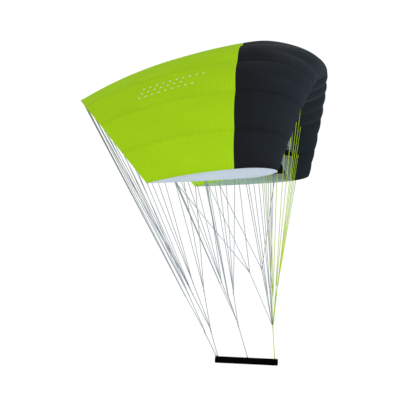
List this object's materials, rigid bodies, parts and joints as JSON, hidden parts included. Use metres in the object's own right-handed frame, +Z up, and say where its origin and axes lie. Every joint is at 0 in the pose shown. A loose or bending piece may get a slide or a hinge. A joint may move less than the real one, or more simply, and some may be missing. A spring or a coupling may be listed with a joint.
{
  "type": "parawing with bar",
  "caption": "Hand-held cloth parawing in flight: a single-skin canopy swelling between scalloped ribs, with lines gathered down to a short padded bar.",
  "frame": {"origin": "middle of the bar that the flier holds", "axes": "+X forward to the wing's nose, +Y to the flier's left along the span, +Z up from the bar to the canopy"},
  "size_m": [1.5713, 2.779, 2.102],
  "materials": {
    "dark_cloth": "coated ripstop",
    "lime_cloth": "coated ripstop",
    "pale_cloth": "coated ripstop",
    "grey_cloth": "coated ripstop",
    "grey_line": "braided",
    "lime_line": "braided",
    "grip": "matt foam"
  },
  "bodies": {
    "root": {"nose_panel_middle": "dark_cloth", "nose_panel_left_1": "dark_cloth", "nose_panel_left_2": "dark_cloth", "nose_panel_left_3": "dark_cloth", "nose_panel_left_4": "dark_cloth", "nose_panel_right_1": "dark_cloth", "nose_panel_right_2": "dark_cloth", "nose_panel_right_3": "dark_cloth", "nose_panel_right_4": "dark_cloth", "rear_panel_middle": "lime_cloth", "rear_panel_left_1": "lime_cloth", "rear_panel_left_2": "lime_cloth", "rear_panel_left_3": "lime_cloth", "rear_panel_left_4": "lime_cloth", "rear_panel_right_1": "lime_cloth", "rear_panel_right_2": "lime_cloth", "rear_panel_right_3": "lime_cloth", "rear_panel_right_4": "lime_cloth", "rib_left_1": "grey_cloth", "rib_left_2": "grey_cloth", "rib_left_3": "grey_cloth", "rib_left_4": "grey_cloth", "rib_right_1": "grey_cloth", "rib_right_2": "grey_cloth", "rib_right_3": "grey_cloth", "rib_right_4": "grey_cloth", "end_rib_left": "pale_cloth", "end_rib_right": "pale_cloth", "brace_left_1": "grey_cloth", "brace_left_2": "grey_cloth", "brace_left_3": "grey_cloth", "brace_left_4": "grey_cloth", "brace_left_5": "grey_cloth", "brace_right_1": "grey_cloth", "brace_right_2": "grey_cloth", "brace_right_3": "grey_cloth", "brace_right_4": "grey_cloth", "brace_right_5": "grey_cloth", "front_lines_left": "lime_line", "second_lines_left": "grey_line", "middle_lines_left": "grey_line", "tail_lines_inner_left": "grey_line", "tail_lines_outer_left": "grey_line", "front_lines_right": "lime_line", "second_lines_right": "grey_line", "middle_lines_right": "grey_line", "tail_lines_inner_right": "grey_line", "tail_lines_outer_right": "grey_line", "front_main": "lime_line", "middle_main": "grey_line", "tail_main_inner": "grey_line", "tail_main_outer": "grey_line", "bar": "grip"}
  },
  "joints": []
}
